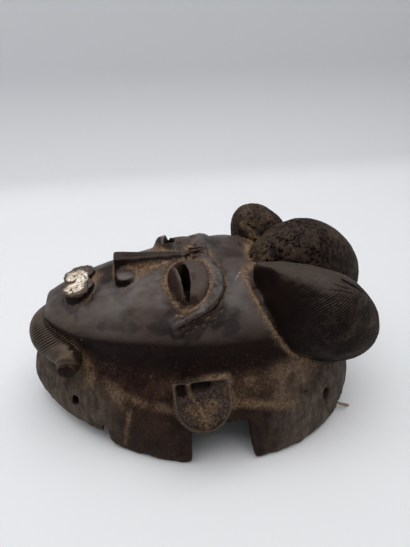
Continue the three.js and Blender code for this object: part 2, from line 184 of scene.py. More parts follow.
class Lobe:
    """A hair lobe's own axes: along it, across it and up out of it, with rim 1 at its surface."""

    def __init__(self, at, back, tip, wide, deep, lean, bend=0):
        self.at, self.back, self.tip, self.wide, self.deep, self.bend = at, back, tip, wide, deep, bend
        self.lean = math.radians(lean)

    def measure(self, points):
        x, y, z = (points - self.at).T
        self.along = x * math.cos(self.lean) - z * math.sin(self.lean)
        self.up = x * math.sin(self.lean) + z * math.cos(self.lean)
        front = np.clip(-self.along / self.tip, 0, 1)
        self.across = y - self.bend * front ** 1.8
        length = np.where(self.along < 0, self.tip, self.back)
        self.rim = np.sqrt(
            (self.along / length) ** 2 + (self.across / self.wide) ** 2 + (self.up / self.deep) ** 2
        )
        return self


head_voxel, head_triangles, hollow_share = 0.8 * MM, 196000, 0.12
head = merged_copy("mask", "carved_head")
finished(head, "REMESH", mode="VOXEL", voxel_size=head_voxel, use_smooth_shade=True)

# The facets of the solid are eased away where the form is broad, and kept where it turns sharply and at
# the eyes, the mouth and the ears
average = averaging(head)
points = points_of(head)
x, y, z = points.T
carved = (np.abs(y) < 46) & (z > 96) & (x > -29) & (x < 8) & (np.abs(y) > 7)
carved |= (np.abs(y) < 22) & (z > 94) & (x > -96) & (x < -66)
carved |= (np.abs(x + 8.4) < 21) & (np.abs(y) > 62) & (z > 34) & (z < 68)
nose = ramp(18, 14, np.abs(y)) * ramp(-68, -64, x) * ramp(-8, -16, x) * ramp(97, 103, z)
bending = 1 - np.linalg.norm(average(normals_of(head), 6), axis=1)
broad = (ramp(0.040, 0.016, average(bending, 3)) * np.where(carved, 0.12, 1))[:, None]
eased = average(points, 110, 0.5 * broad)
points = eased + average(points - eased, 110, 0.5 * broad)
points = average(points, 3, np.where(carved, 0.15, 0.5)[:, None])
mirrored = near_side(points)
tail = pit(mirrored, (-25, -47, 91), 13)
rim_corner = pit(mirrored, (-15, -90, 0), 10)
points = average(points, 16, 0.5 * nose[:, None])
points = average(points, 60, 0.5 * np.maximum(tail, rim_corner)[:, None])
set_points(head, points)

near_lobe = Lobe((74.96, -47, 87.8), 52, 48.5, 26, 32, 36, bend=24)
middle_lobe = Lobe((71.96, 0, 87.5), 56.5, 38, 31, 47.5, 24)
far_lobe = Lobe((63.96, 48, 93.5), 38, 34, 26, 22.5, 55)
lobes = (near_lobe, middle_lobe, far_lobe)


def zones(points, normals):
    """How far each point belongs to the hair, to the beard band and to the hollow inside."""
    x, y, z = points.T
    rim = np.min([lobe.measure(points).rim for lobe in lobes], axis=0)
    to_middle = np.array([28.0, 0, 30]) - points
    facing = (to_middle * normals).sum(1) / np.linalg.norm(to_middle, axis=1)
    radial = np.hypot((x - 28) / np.where(x > 28, 97, 155), y / 88)
    hollow = ramp(0.05, 0.2, facing) * ramp(0.97, 0.9, radial) * ramp(102, 98, z)
    hair = ramp(1.06, 1.02, rim) * ramp(28, 36, x) * ramp(40, 46, z) * (1 - hollow)
    beard = ramp(-83, -88, x) * ramp(80, 75, z) * ramp(47, 50, z) * (1 - hollow)
    return hair, beard, hollow


def combing(points, normals):
    """The cut grooves: their count across each lobe and the beard, how deep they are, how bored by insects
    the hair is, and the smoother crest of the near lobe."""
    x, y, z = points.T
    hair, beard, _ = zones(points, normals)
    nearest = np.argmin([lobe.measure(points).rim for lobe in lobes], axis=0)
    sway = 0.5 * cloudy(points, 13, 1) + 0.22 * cloudy(points, 4, 11)
    near_count = points @ np.array((-0.448, 0.572, 0.687)) / 1.55 + sway
    middle_count = points @ np.array((0.93, 0.05, -0.30)) / 1.7 + sway
    beard_count = points @ np.array((0.40, -0.58, -0.71)) / 1.7 + 0.3 * cloudy(points, 11, 5)
    patchy = np.clip(0.55 + 0.8 * cloudy(points, (8, 8, 5), 21), 0.05, 1)
    crest = ramp(0.66, 0.90, normals[:, 2])
    near_strength = patchy * (1 - 0.9 * crest) * ramp(44, 68, x + 0.35 * (95 - z))
    middle_strength = patchy * 0.6 * ramp(80, 96, x)
    kept = ramp(-0.7, 0.0, cloudy(points, 16, 6) + 0.03 * (74 - z) - 0.02 * (y + 10)) * ramp(14, 2, y)
    beard_strength = beard * kept * ramp(31, 27, np.abs(y)) * ramp(-2, -9, y) * ramp(-119, -114, x)
    count = np.select([beard > 0.5, nearest == 1], [beard_count, middle_count], near_count)
    strength = np.select([nearest == 0, nearest == 1], [near_strength, middle_strength], 0.1 * patchy)
    bored = ramp(-0.45, 0.25, cloudy(points, 13, 72)) * ramp(96, 78, x)
    bored = np.select([nearest == 0, nearest == 1], [0.12 * bored, bored], 0.35 * bored + 0.15)
    return count, hair * strength + beard_strength, hair * bored, hair * crest * (nearest == 0)


eye_x, eye_y, mound_x, mound_y, far_eye_shift = -8.7, 24.4, 15, 18.2, 4.0


def eye_place(points):
    """Distance from an eye's middle: 1 at the foot of its mound. The far eye lies nearer the chin."""
    x, y, z = points.T
    from_x = x - eye_x + far_eye_shift * (y > 0)
    return np.hypot(from_x / mound_x, (np.abs(y) - eye_y) / mound_y) + 9 * (z < 92)


ear_x, ear_edge_y, ear_edge_z = -8.44, 68.3, 63.5
ear_out, ear_drop, ear_slant, ear_straight = 21.7, 25.7, 33.64, 14.3


def ear_place(points):
    """Place on the nearer ear's plate in mm: along it from its middle, and down it from its top edge."""
    x, y, z = points.T
    return x - ear_x, ((np.abs(y) - ear_edge_y) * ear_out + (ear_edge_z - z) * ear_drop) / ear_slant


def ear_reach(along, down):
    """Distance in mm from the ear's middle line, which ends where its lower edge turns round."""
    return np.hypot(along, np.clip(down - ear_straight, 0, None))


def face_choice(piece, chosen):
    """Goes into edit mode with the faces selected whose corners are all chosen."""
    corners = np.empty(len(piece.data.loops), np.int32)
    piece.data.loops.foreach_get("vertex_index", corners)
    starts = np.empty(len(piece.data.polygons), np.int32)
    piece.data.polygons.foreach_get("loop_start", starts)
    picked(piece)
    bpy.ops.object.mode_set(mode="EDIT")
    bpy.ops.mesh.select_mode(type="FACE")
    bpy.ops.mesh.select_all(action="DESELECT")
    bpy.ops.object.mode_set(mode="OBJECT")
    piece.data.polygons.foreach_set("select", np.logical_and.reduceat(chosen[corners], starts))
    bpy.ops.object.mode_set(mode="EDIT")


# The hollow keeps the scallops of the gouge. It is mostly hidden, so its mesh is coarser
normals = normals_of(head)
_, _, hollow = zones(points, normals)
scallop = np.abs(cloudy(points, (10, 7, 10), 16)) + 0.5 * np.abs(cloudy(points, (5, 4, 5), 17))
points = points - normals * (hollow * 1.3 * (scallop - 0.5))[:, None]
set_points(head, points)
face_choice(head, hollow > 0.6)
bpy.ops.mesh.decimate(ratio=hollow_share)
bpy.ops.object.mode_set(mode="OBJECT")

# Finer mesh where the carving is finest: the hair, the beard, the ears, eyes, nose and mouth
points = points_of(head)
hair, beard, hollow = zones(points, normals_of(head))
x, y, z = points.T
ear = (np.abs(x + 8.4) < 21) & (np.abs(y) > 64) & (z > 33) & (z < 68)
features = (np.abs(y) < 52) & (z > 88) & (x < 22) & (x > -100)
rear_marks = (np.abs(x - 74) < 16) & (y < -55) & (z < 62)
fine = (hair > 0.3) | (beard > 0.3) | ear | features | rear_marks
face_choice(head, fine & (hollow < 0.3))
bpy.ops.mesh.subdivide(number_cuts=1)
bpy.ops.object.mode_set(mode="OBJECT")

average = averaging(head)
points = points_of(head)
_, _, hollow = zones(points, normals_of(head))
points = average(points, 2, 0.5 * (hollow < 0.3)[:, None])
set_points(head, points)
normals = normals_of(head)
hair, beard, hollow = zones(points, normals)
x, y, z = points.T
depth = np.zeros(len(points))

# Hair and beard: fine parallel grooves cut slantwise, a smoother crest that has cracked, insects' holes
count, combed, bored, crest = combing(points, normals)
depth += combed * np.where(beard > 0.5, 0.75, 0.36) * grooves(count, 0.85)
depth += hair * (0.3 * cloudy(points, 9, 31) + (0.12 + 0.25 * bored) * cloudy(points, 2.2, 32))
near_lobe.measure(points)
splits = grooves(near_lobe.across / 3.1 + 0.35 * cloudy(points, (22, 6, 6), 41), 0.3)
depth += crest * 0.55 * splits * ramp(0.0, 0.35, cloudy(points, (16, 8, 8), 51)) * ramp(70, 84, x)
depth += hair * 2.6 * pit(points, (41, -34, 108), 12)
depth += bored * 1.1 * ramp(0.25, 0.6, cloudy(points, 1.9, 71))
depth += bored * 0.6 * ramp(0.15, 0.5, cloudy(points, (2.2, 2.2, 5), 74))
for spot, radius, deep in (
    ((51, 26, 105), 2.0, 1.6), ((78, -10, 128), 1.6, 1.4), ((56, -15, 119), 2.2, 1.8),
    ((66, -12, 127), 1.1, 1.0), ((70, 4, 131), 1.3, 1.2), ((61, -18, 118), 1.5, 1.2),
    ((74, -18, 122), 1.2, 1.0), ((49, -6, 119), 1.4, 1.1), ((47, 33, 115), 1.7, 1.3),
    ((51, 30, 114), 1.3, 1.2), ((43, 43, 119), 1.1, 0.9), ((57.8, -68.5, 58), 1.8, 1.4),
):
    depth += deep * pit(points, spot, radius)

# Deep cuts part the bars between the brows, and the upper lip is notched
cut(depth, points, (
    ([(-6, -4.6, 116), (-2, -1.6, 117), (1.7, -0.9, 117), (6.5, -3.5, 116.5)], 2.3, 3.6),
    ([(-7.2, 4.4, 116.5), (-3, 3.8, 116.8), (0.3, 3.8, 117), (5.5, 4.2, 116.5)], 1.5, 2.0),
    ([(-8, -5.5, 115), (-4, -6.5, 114)], 2.0, 1.8),
    ([(-76, -0.4, 106), (-70, -0.4, 106)], 1.6, 1.8),
))

# Ear: two hollows under its top with a ridge between them, a rib down the middle and a dip each side of it
along, down = ear_place(points)
plate = ramp(63, 67, np.abs(y)) * ramp(0.25, 0.5, normals[:, 1] * np.sign(y)) * ramp(-1.5, 0.5, down)
plate = plate * ramp(17.4, 16.2, ear_reach(along, down)) * (z > 34)
on_plate = np.stack((along, down, 0 * down), 1)
front_bowl, rear_bowl = [(-13.5, 3, 0), (-12.5, 7, 0)], [(-4, 3.5, 0), (3, 4.5, 0)]
for path, radius, deep in (
    (front_bowl, 4.6, 2.0),
    (rear_bowl, 4.8, 2.2),
    ([(-8.6, 1, 0), (-7.6, 9, 0), (-4, 14, 0)], 2.6, -1.2),
    ([(-4, 13, 0), (-2.8, 18, 0), (0.8, 30, 0)], 2.0, -1.1),
    ([(-10.5, 16, 0), (-6, 27, 0)], 5.0, 1.0),
    ([(3.5, 13, 0), (6, 24, 0)], 5.5, 1.0),
    ([(11, 5, 0), (11.5, 14, 0)], 4.0, 0.7),
):
    depth += plate * deep * ramp(0, 0.8, line(on_plate, path, radius))
depth += plate * (0.25 * cloudy(points, 4, 8) + 0.12 * cloudy(points, 1.6, 9))

# Knife marks: long facets and a rough crust on the wall, broad soft ones on the face
wall = ramp(76, 64, z) * (1 - hollow) * (1 - hair) * (1 - beard)
facets = 0.4 * cloudy(points, (6, 6, 14), 11) + 0.2 * cloudy(points, (2.1, 2.1, 3.2), 12)
depth += wall * (facets + 0.12 * cloudy(points, 1.2, 13))
face = (1 - hollow) * (1 - hair) * (1 - wall) * (1 - beard)
depth += face * (0.3 * cloudy(points, 13, 14) + 0.07 * cloudy(points, 4, 15))

# Damage: the cracks below the rear hanging hole, in the wall toward the chin and along the near crest, a
# bored spot, a scratch on the forehead, a crease under the brow's tail, the scalloped brow, the chipped rim
rear_hole = [(80, -70, 35), (81, -70, 29)]
rear_crack = [(80, -70, 27), (82, -71, 22), (84, -70, 16), (87, -69, 9)]
chin_crack = [(-69, -56, 33), (-67.5, -60, 20), (-67, -62, 8)]
cut(depth, points, (
    (rear_hole, 4.4, 2.6), ([(83, -72, 38), (84, -71, 31)], 2.6, 1.6),
    (rear_crack, 1.6, 2.6),
    (chin_crack, 2.2, 1.8),
    ([(85, -50, 117), (91, -52.5, 114), (97, -53, 109.6), (107, -51.5, 100)], 1.2, 1.4),
    ([(82, -56, 114), (95, -58, 106), (104, -58, 99)], 0.9, 0.8),
    ([(58.6, -76, 45.5), (56.2, -76.5, 47)], 1.6, 1.5),
    ([(22.6, -26.2, 108.9), (27.1, -19.2, 110)], 1.0, 0.3),
    ([(4.8, -41.5, 102), (-0.1, -44, 99.5), (-6.5, -47, 96.5), (-13.8, -49, 93.5)], 1.8, 0.9),
))
for step in range(9):
    depth += 0.6 * pit(points, (11.5 - 0.2 * step ** 1.5, -22 - 3.2 * step, 108 - 0.28 * step ** 2), 1.7)
on_brow = face * ramp(1.02, 1.12, eye_place(points)) * ramp(1.75, 1.5, eye_place(points)) * ramp(-24, -16, x)
depth += on_brow * (0.4 * cloudy(points, 3.6, 61) + 0.25 * cloudy(points, 1.8, 62))
mirrored = near_side(points)
brow_tail = line(mirrored, [(8, -41, 101), (-4, -45.5, 97), (-13, -48.5, 93), (-20, -49.5, 90)], 4.6)
depth -= face * 0.7 * ramp(0, 0.9, brow_tail) * ramp(0.1, 0.5, normals[:, 2])
ragged = ramp(14, 2, z) * ramp(84, 96, x) + ramp(6, 1, z) * ramp(-30, -60, x)
depth += (1 - hollow) * ragged * 0.9 * np.clip(cloudy(points, 5, 21), 0, 1)
broken_back = ramp(112, 119, x) * ramp(6, -8, y) * ramp(-56, -48, y) * ramp(54, 46, z) * (1 - hollow)
depth += broken_back * (1.5 + 1.7 * np.clip(cloudy(points, 4, 22) + 0.3, 0, 1))

low, high = (np.array(corner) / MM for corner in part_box("mask"))
set_points(head, np.clip(points - normals * depth[:, None], low, high))
triangles = sum(len(face.vertices) - 2 for face in head.data.polygons)
finished(head, "DECIMATE", ratio=head_triangles / triangles, use_collapse_triangulate=True)
picked(head)
bpy.ops.object.shade_smooth()

# What the finish reads from the form: recesses and worn edges, the grooves, the part of the head, and where
# brown earth lies, where shade is painted black and where paler worn wood and painted highlights lie
average = averaging(head)
points = points_of(head)
normals = normals_of(head)
hair, beard, hollow = zones(points, normals)
count, combed, bored, crest = combing(points, normals)
x, y, z = points.T
recess_fine = ((average(points, 4) - points) * normals).sum(1)
recess_wide = ((average(points, 60, 0.9) - points) * normals).sum(1)
valley = ramp(0.15, 1.2, recess_wide)
rim = np.min([lobe.measure(points).rim for lobe in lobes], axis=0)
wall = ramp(84, 64, z) * (1 - hair) * (1 - beard)
mirrored = near_side(points)
eye = eye_place(points)
along, down = ear_place(points)
plate = ramp(63, 66, np.abs(y)) * ramp(0.1, 0.4, normals[:, 1] * np.sign(y)) * (z > 34) * (z < 67)
plate = plate * ramp(20.5, 19, ear_reach(along, down))
ear_rim = np.maximum(ear_reach(along, down) - 16.9, 0.9 - down)

earth = valley * (1 - hair) * (1 - wall) * (1 - plate)
earth = np.maximum(earth, ramp(0.98, 1.03, rim) * ramp(1.15, 1.08, rim) * ramp(50, 60, z))
earth = np.maximum(earth, ramp(0.10, 0.03, np.abs(eye - 1)))
earth = stained(earth, mirrored, 0.8, (
    ([(-76, -44, 50), (-54.5, -61.2, 46.6), (-36, -71, 46), (-29, -75, 46)], 5, 0.60),
    ([(11, -77, 49), (28.1, -79.5, 45.3), (45.1, -80.4, 42.4), (52, -79, 41)], 5, 0.75),
    ([(-27.8, -67, 62), (-28.6, -80, 46)], 4, 0.75),
    ([(10.9, -69, 61), (10.6, -80, 47)], 4, 0.75),
    ([(-25, -66.5, 64.5), (9, -67.5, 64)], 3, 0.90),
    ([(14, -73, 56), (40, -72, 60), (60, -66, 64)], 12, 0.55),
    ([(45, -78, 50), (64, -68, 58)], 10, 0.45),
    ([(-88, -34, 69), (-83, -38, 60), (-80, -43, 51)], 9, 0.80),
    ([(-97.8, -12, 62), (-97.8, -24, 62)], 4, 0.80),
    ([(-70, -50, 52), (-58, -62, 44)], 8, 0.50),
    ([(-62.2, -67.3, 7.6), (-58.8, -67.3, 26.1), (-55.3, -64.4, 40.6)], 2.4, 0.80),
))
on_plate = np.stack((along, down, 0 * down), 1)
ridge = line(on_plate, [(-8.6, 1, 0), (-7.6, 9, 0), (-4, 14, 0), (-2.8, 18, 0), (0.8, 30, 0)], 2.4)
bowl = 0.55 * ramp(0, 0.7, line(on_plate, [(-7, 17, 0), (0, 24, 0), (6, 17, 0)], 7))
earth = np.maximum(earth, plate * np.maximum(0.9 * ramp(0.2, 0.6, ridge), bowl))
in_bowls = np.maximum(line(on_plate, front_bowl, 4), line(on_plate, rear_bowl, 4.2))
in_ear = plate * ramp(0.1, 0.6, in_bowls)
between_lobes = line(points, [(44, 37, 114), (52, 26, 107), (57, 22, 103)], 6)
earth = np.maximum(earth, 0.9 * ramp(0.3, 0.7, between_lobes))

shift = np.array((far_eye_shift, 0, 0)) * (y > 0)[:, None]
on_eye = near_side(points + shift) * (1, -1, 1)
lower_edge = np.interp(on_eye[:, 1], (13, 20, 28, 35.5, 40), (-17.0, -15.6, -14.1, -13.2, -11.0))
upper_edge = np.interp(on_eye[:, 1], (13, 13.6, 21, 31, 40), (-17.0, -10.0, -8.3, -8.7, -11.0))
in_slit = np.minimum(on_eye[:, 0] - lower_edge, upper_edge - on_eye[:, 0])
in_slit = np.where((on_eye[:, 1] > 12) & (on_eye[:, 1] < 41) & (z > 60), in_slit, -9)
lid_edge = lower_edge - on_eye[:, 0] + 9 * ((on_eye[:, 1] < 13) | (on_eye[:, 1] > 37))
# Painted shade, laid on as black: in the eye slits and on the lower lids' sides toward the chin, on steep
# faces and under the jaw's roll, on the nose's sides and under its wings, in the cuts, the cracks and the
# hanging hole, along the brow's tail, at the beard's ends, in the ear's hollows, on the hair's front below
# the crest, in deep recesses
painted_shade = np.maximum(ramp(-0.2, 0.4, in_slit), ramp(-1.3, -0.6, in_slit) * ramp(0.55, 0.35, normals[:, 2]))
painted_shade = np.maximum(painted_shade, 0.7 * ramp(0.97, 0.90, eye) * ramp(1.6, 3.0, lid_edge) * (lid_edge < 20))
low_face = (1 - hair) * (1 - beard) * ramp(60, 70, z)
painted_shade = np.maximum(painted_shade, 0.95 * low_face * np.maximum(
    ramp(0.45, 0.05, normals[:, 2]), ramp(0.80, 0.45, normals[:, 2]) * ramp(93, 84, z)))
nose_side = ramp(11, 8, np.abs(y)) * ramp(-68, -66, x) * ramp(2, -3, x) * (z > 103)
painted_shade = np.maximum(painted_shade, 0.75 * nose_side * ramp(0.85, 0.55, normals[:, 2]))
painted_shade = np.maximum(painted_shade, 0.6 * nose_side)
painted_shade = stained(painted_shade, mirrored, 0.7, (
    ([(-6, -4.6, 116), (-2, -1.6, 116), (1.7, -0.9, 116), (6.5, -3.5, 115.5)], 2.3, 1.0),
    ([(-7.2, 4.4, 116), (-3, 3.8, 116), (0.3, 3.8, 116), (5.5, 4.2, 116)], 1.6, 0.9),
    ([(-8, -5.5, 115), (-4, -6.5, 114)], 2.2, 0.9),
    (rear_hole, 4.4, 1.0),
    (chin_crack, 2.0, 0.9),
    ([(5, -41, 101), (-4, -46, 97), (-13, -50, 92), (-22, -53, 87)], 4.0, 0.6),
    ([(-66, -10, 100), (-58, -13, 97)], 5.0, 0.5),
))
painted_shade = np.maximum(painted_shade, np.maximum(beard * ramp(38, 42, np.abs(y)), 0.9 * in_ear))
wing = ramp(20, 17, np.abs(y)) * ramp(-68, -66, x) * ramp(-44, -48, x) * (z > 98)
painted_shade = np.maximum(painted_shade, wing * ramp(0.86, 0.5, normals[:, 2]))
front = ramp(76, 48, x - 0.5 * (z - 95)) * (1 - crest) * (near_lobe.measure(points).rim < 1.1)
painted_shade = np.maximum(painted_shade, hair * np.maximum(front, 0.6 * (1 - crest) * ramp(104, 84, x)))
painted_shade = np.maximum(painted_shade, ramp(0.55, 0.9, ramp(0.6, 2.0, recess_wide)) * (1 - earth))
# Painted highlight: paler where the near lobe's crest, the lids' edges and the knob's top face up to the
# light, and paler along the ear's raised rim
lid_edge = ramp(0.0, 0.4, lid_edge) * ramp(2.4, 1.6, lid_edge)
pale_highlight = 0.6 * crest + 0.9 * lid_edge * (z > 96) * ramp(0.2, 0.5, normals[:, 2])
pale_highlight = np.maximum(pale_highlight, 0.7 * plate * ramp(-0.6, 0.2, ear_rim) * ramp(1.8, 1.0, ear_rim))
knob = 0.5 * beard * ramp(32, 35, np.abs(y)) * ramp(42, 39, np.abs(y))
pale_highlight = np.maximum(pale_highlight, knob * ramp(0.1, 0.6, normals[:, 2]))
for name, values in (
    ("recess", np.clip(recess_fine / 0.5 + 0.5, 0, 1)), ("lid", ramp(1.0, 0.85, eye)),
    ("hair", hair), ("hollow", hollow), ("beard", beard), ("ear", plate), ("wall", wall),
    ("count", count), ("combed", combed), ("bored", bored),
    ("earth", earth * (1 - hollow) * ramp(0.2, -0.6, in_slit)),
    ("painted_shade", np.clip(painted_shade, 0, 1) * (1 - hollow)), ("pale_highlight", np.clip(pale_highlight, 0, 1)),
):
    head.data.attributes.new(name, "FLOAT", "POINT").data.foreach_set("value", values.astype(np.float32))


class Wire:
    """A value in a material. Arithmetic on it adds Math nodes."""

    def __init__(self, finish, socket):
        self.finish, self.socket = finish, socket

    def maths(self, operation, *values):
        return self.finish.node("ShaderNodeMath", {"operation": operation}, *values)

    def __add__(self, other):
        return self.maths("ADD", self, other)

    def __sub__(self, other):
        return self.maths("SUBTRACT", self, other)

    def __rsub__(self, other):
        return self.maths("SUBTRACT", other, self)

    def __mul__(self, other):
        return self.maths("MULTIPLY", self, other)

    __radd__, __rmul__ = __add__, __mul__

    def over(self, other):
        return self.maths("MAXIMUM", self, other)

    def between(self, low, high):
        """0 at low, 1 at high, smooth between."""
        settings = {"interpolation_type": "SMOOTHSTEP"}
        return self.finish.node("ShaderNodeMapRange", settings, self, low, high, 0.0, 1.0)


class Finish:
    """A material, with one method for each thing that is laid on a piece."""

    def __init__(self, name):
        self.material = bpy.data.materials.new(name)
        self.material.use_nodes = True
        self.tree = self.material.node_tree
        self.shader = self.tree.nodes["Principled BSDF"]
        self.place = self.node("ShaderNodeTexCoord", {}, out="Object")

    def node(self, kind, settings, *values, out=0, **named):
        """A node of any kind: its settings, then what goes into its sockets, by order or by name."""
        node = self.tree.nodes.new(kind)
        for name, value in settings.items():
            setattr(node, name, value)
        for key, value in [*enumerate(values), *named.items()]:
            socket = node.inputs[key if isinstance(key, int) else key.replace("_", " ")]
            if isinstance(value, Wire):
                self.tree.links.new(value.socket, socket)
            else:
                socket.default_value = value
        return Wire(self, node.outputs[out])

    def read(self, name):
        return self.node("ShaderNodeAttribute", {"attribute_name": name}, out="Fac")

    def stretched(self, x, y, z):
        return self.node("ShaderNodeMapping", {}, Vector=self.place, Scale=(x, y, z))

    def noise(self, scale, detail=4.0, rough=0.55, place=None):
        place = place or self.place
        return self.node("ShaderNodeTexNoise", {}, Vector=place, Scale=scale, Detail=detail, Roughness=rough)

    def specks(self, scale):
        """Distance from scattered points."""
        return self.node("ShaderNodeTexVoronoi", {}, Vector=self.place, Scale=scale)

    def vector(self, operation, *values, out=0):
        return self.node("ShaderNodeVectorMath", {"operation": operation}, *values, out=out)

    def away(self, start, end):
        """Distance from a straight line between two points given in mm."""
        start, end = Vector(start) * MM, Vector(end) * MM
        run = end - start
        along = self.vector("SUBTRACT", self.place, start)
        share = self.vector("DOT_PRODUCT", along, run / run.length_squared, out=1)
        share = self.node("ShaderNodeClamp", {}, share, 0.0, 1.0)
        on_line = self.node("ShaderNodeCombineXYZ", {}, *(share * value for value in run))
        return self.vector("DISTANCE", along, on_line, out=1)

    def blend(self, share, below, above):
        """One colour over another."""
        node = self.tree.nodes.new("ShaderNodeMix")
        node.data_type = "RGBA"
        for socket, value in zip((node.inputs[0], node.inputs[6], node.inputs[7]), (share, below, above)):
            if isinstance(value, Wire):
                self.tree.links.new(value.socket, socket)
            else:
                socket.default_value = value if isinstance(value, float) else (*value, 1.0)
        return Wire(self, node.outputs[2])

    def wear(self, colour, roughness, relief, height):
        """Sets what varies over the piece: colour, roughness and a fine relief of this height in metres."""
        bump = self.node("ShaderNodeBump", {}, Strength=1.0, Distance=height, Height=relief, out="Normal")
        for name, value in (("Base Color", colour), ("Roughness", roughness), ("Normal", bump)):
            self.tree.links.new(value.socket, self.shader.inputs[name])


patina = Finish("blackened_wood")
recess, on_hair, in_hollow, on_beard = (patina.read(name) for name in ("recess", "hair", "hollow", "beard"))
on_ear, on_wall, painted_shade, pale_highlight, laid = (patina.read(name) for name in ("ear", "wall", "painted_shade", "pale_highlight", "earth"))
on_lid = patina.read("lid")
count, combed, bored = patina.read("count"), patina.read("combed"), patina.read("bored")
station, height = (patina.node("ShaderNodeSeparateXYZ", {}, patina.place, out=n) for n in (0, 2))
blotches = patina.noise(28.0, 5.0, 0.6)
grain = patina.noise(60.0, 6.0, 0.7, patina.stretched(1.0, 9.0, 9.0))
scratches = patina.noise(190.0, 5.0, 0.65, patina.stretched(0.35, 1.0, 1.0))
crust = patina.noise(620.0, 4.0, 0.7)
grit = patina.noise(1400.0, 3.0, 0.6)
dust = patina.noise(75.0, 6.0, 0.65)
ruddy = patina.noise(17.0, 3.0, 0.5)
runs = patina.noise(260.0, 4.0, 0.6, patina.stretched(1.0, 1.0, 0.12))
rear = station.between(0.022, 0.062) * on_wall
foot = height.between(0.050, 0.030) * on_wall
groove = count.maths("PINGPONG", count, 0.5).between(0.36, 0.06) * combed
holes = patina.specks(330.0).between(0.30, 0.16) * bored * blotches.between(0.40, 0.55)

shade_black, groove_shade_black = (0.0070, 0.0028, 0.0023), (0.0050, 0.0030, 0.0025)
split_shade_black, foot_brown = (0.007, 0.004, 0.003), (0.027, 0.0155, 0.0110)
worn_and_lit_wood, bare_wood = (0.105, 0.080, 0.064), (0.30, 0.27, 0.23)

# Under everything a blackened skin: redder on the wall, greyer at the back, blackest in the hair
skin = patina.blend(blotches.between(0.3, 0.7), (0.015, 0.0100, 0.0092), (0.034, 0.0245, 0.0220))
skin = patina.blend(on_lid.over(ruddy.between(0.42, 0.62)) * 0.85, skin, (0.034, 0.0145, 0.0095))
brown = patina.blend(dust.between(0.38, 0.66), (0.0135, 0.0056, 0.0046), (0.041, 0.0210, 0.0140))
grey = patina.blend(runs.between(0.35, 0.70), (0.075, 0.055, 0.041), (0.150, 0.117, 0.090))
strands = patina.blend(crust.between(0.35, 0.70), (0.0085, 0.0050, 0.0045), (0.036, 0.025, 0.021))
bearded = patina.blend(dust.between(0.3, 0.7), (0.044, 0.030, 0.020), (0.100, 0.072, 0.048))
lobed = patina.blend(crust.between(0.3, 0.7), (0.022, 0.015, 0.012), (0.062, 0.046, 0.035))
earth = patina.blend(crust.between(0.35, 0.65), (0.082, 0.046, 0.024), (0.300, 0.196, 0.120))
raw = patina.blend(grain.between(0.3, 0.7), (0.016, 0.0105, 0.0070), (0.050, 0.033, 0.022))
colour = patina.blend(on_wall, skin, brown)
chin = station.between(-0.052, -0.080) * height.between(0.056, 0.046) * on_wall
colour = patina.blend(chin * (0.3 + 0.5 * dust.between(0.3, 0.6)), colour, grey)
colour = patina.blend(foot * (1 - chin) * runs.between(0.3, 0.7), colour, foot_brown)
colour = patina.blend(rear * (0.45 + 0.55 * dust.between(0.35, 0.6)), colour, grey)
colour = patina.blend(on_hair, colour, strands)
colour = patina.blend(on_beard, colour, bearded)
colour = patina.blend(on_ear, colour, lobed)
# Painted shade: black over the skin in slits, cuts, recesses and on the sides turned away from the light
colour = patina.blend(painted_shade * (0.60 + 0.40 * crust.between(0.35, 0.55)), colour, shade_black)

# Earth lies in the valleys, along the hairline and the ledge above the foot, and in specks on the wall
settled = laid * (0.35 + 0.65 * dust.between(0.34, 0.56))
caught = recess.between(0.62, 0.90) * crust.between(0.42, 0.6) * (1 - on_hair)
settled = settled.over(caught * (1 - painted_shade) * (1 - 0.8 * on_wall))
settled = settled.over(crust.between(0.60, 0.70) * on_wall * dust.between(0.42, 0.56) * 0.7)
settled = settled * (1 - in_hollow)
colour = patina.blend(settled * 0.85, colour, earth)

# Grooves, holes and splits are painted black as the shade in them, worn edges and painted highlights paler,
# and a scratch and a flake show lighter wood
colour = patina.blend(groove.over(holes) * 0.9, colour, groove_shade_black)
worn = recess.between(0.42, 0.22) * 0.35 * (1 - in_hollow) * (1 - painted_shade) * (1 - 0.9 * on_wall)
colour = patina.blend(worn.over(pale_highlight * (0.35 + 0.45 * crust)), colour, worn_and_lit_wood)
for start, end, width in (
    ((22.6, -26.2, 108.9), (27.1, -19.2, 110.0), 0.9),
    ((-81.0, -35.3, 80.8), (-78.0, -34.5, 82.6), 0.9),
):
    flake = patina.away(start, end).between(width * MM, 0.4 * width * MM) * crust.between(0.40, 0.55)
    colour = patina.blend(flake * 0.75, colour, bare_wood)
# Painted shade: the rear cracks and the near crest's split are drawn black
for start, end, width in (
    *zip(rear_crack, rear_crack[1:], (0.9, 0.8, 0.7)),
    ((85, -50, 117), (97, -53, 109.6), 0.8), ((97, -53, 109.6), (107, -51.5, 100), 0.8),
):
    split = patina.away(start, end).between(width * MM, 0.4 * width * MM)
    colour = patina.blend(split * 0.85, colour, split_shade_black)
colour = patina.blend(in_hollow, colour, raw)

polish = (1 - on_wall) * (1 - 0.5 * on_lid) * (1 - 0.75 * settled) * (1 - in_hollow)
polish = polish * (1 - 0.95 * on_hair) * (1 - 0.7 * on_beard)
polish = (polish + 0.25 * pale_highlight) * (1 - 0.95 * painted_shade)
roughness = 0.60 + 0.32 * settled + 0.10 * blotches
relief = 0.55 * crust * (0.12 + on_wall + settled + 0.5 * on_hair + 0.4 * on_ear) + 0.25 * grit * settled
relief = relief + 0.20 * grain + 0.60 * scratches * polish - 0.9 * groove - holes
patina.wear(colour, roughness, relief, 0.0006)
sheen = polish * (0.15 + 0.80 * blotches.between(0.25, 0.75)) * (0.45 + 0.55 * scratches.between(0.3, 0.6))
patina.tree.links.new(sheen.socket, patina.shader.inputs["Coat Weight"])
for name, value in (("Coat Roughness", 0.34), ("Coat IOR", 1.52), ("Specular IOR Level", 0.07)):
    patina.shader.inputs[name].default_value = value
head.data.materials.append(patina.material)
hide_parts("mask")
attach(head, "root")
